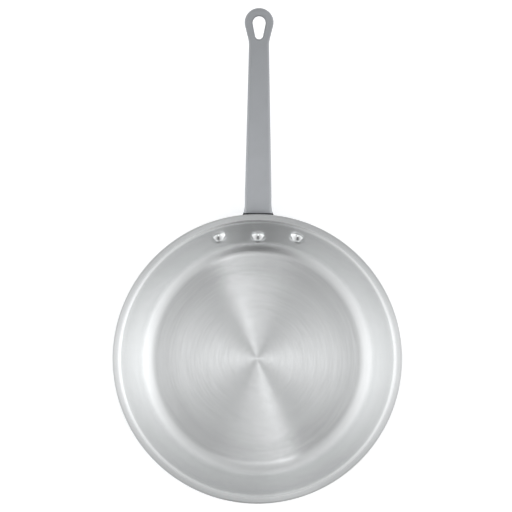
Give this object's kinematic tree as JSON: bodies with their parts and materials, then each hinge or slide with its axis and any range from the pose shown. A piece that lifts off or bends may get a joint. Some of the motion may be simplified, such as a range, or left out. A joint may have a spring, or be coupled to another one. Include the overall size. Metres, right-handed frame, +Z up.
{
  "type": "omelette pan",
  "caption": "Shallow round omelette pan with a flat floor, curved corner, sloping wall and flared lip, and a long riveted channel handle with a teardrop hanging eye.",
  "frame": {"origin": "centre of the flat underside of the pan, on the surface that the pan stands on", "axes": "+Z up out of the pan's mouth, +Y along the handle from the pan to the hanging eye, +X to the right of someone who looks along +Y"},
  "size_m": [0.3048, 0.521, 0.0888],
  "materials": {
    "spun_aluminium": "satin",
    "plated_steel": "satin",
    "rivet_aluminium": "polished"
  },
  "bodies": {
    "root": {"pan_body": "spun_aluminium", "handle": "plated_steel", "rivets": "rivet_aluminium"}
  },
  "joints": []
}
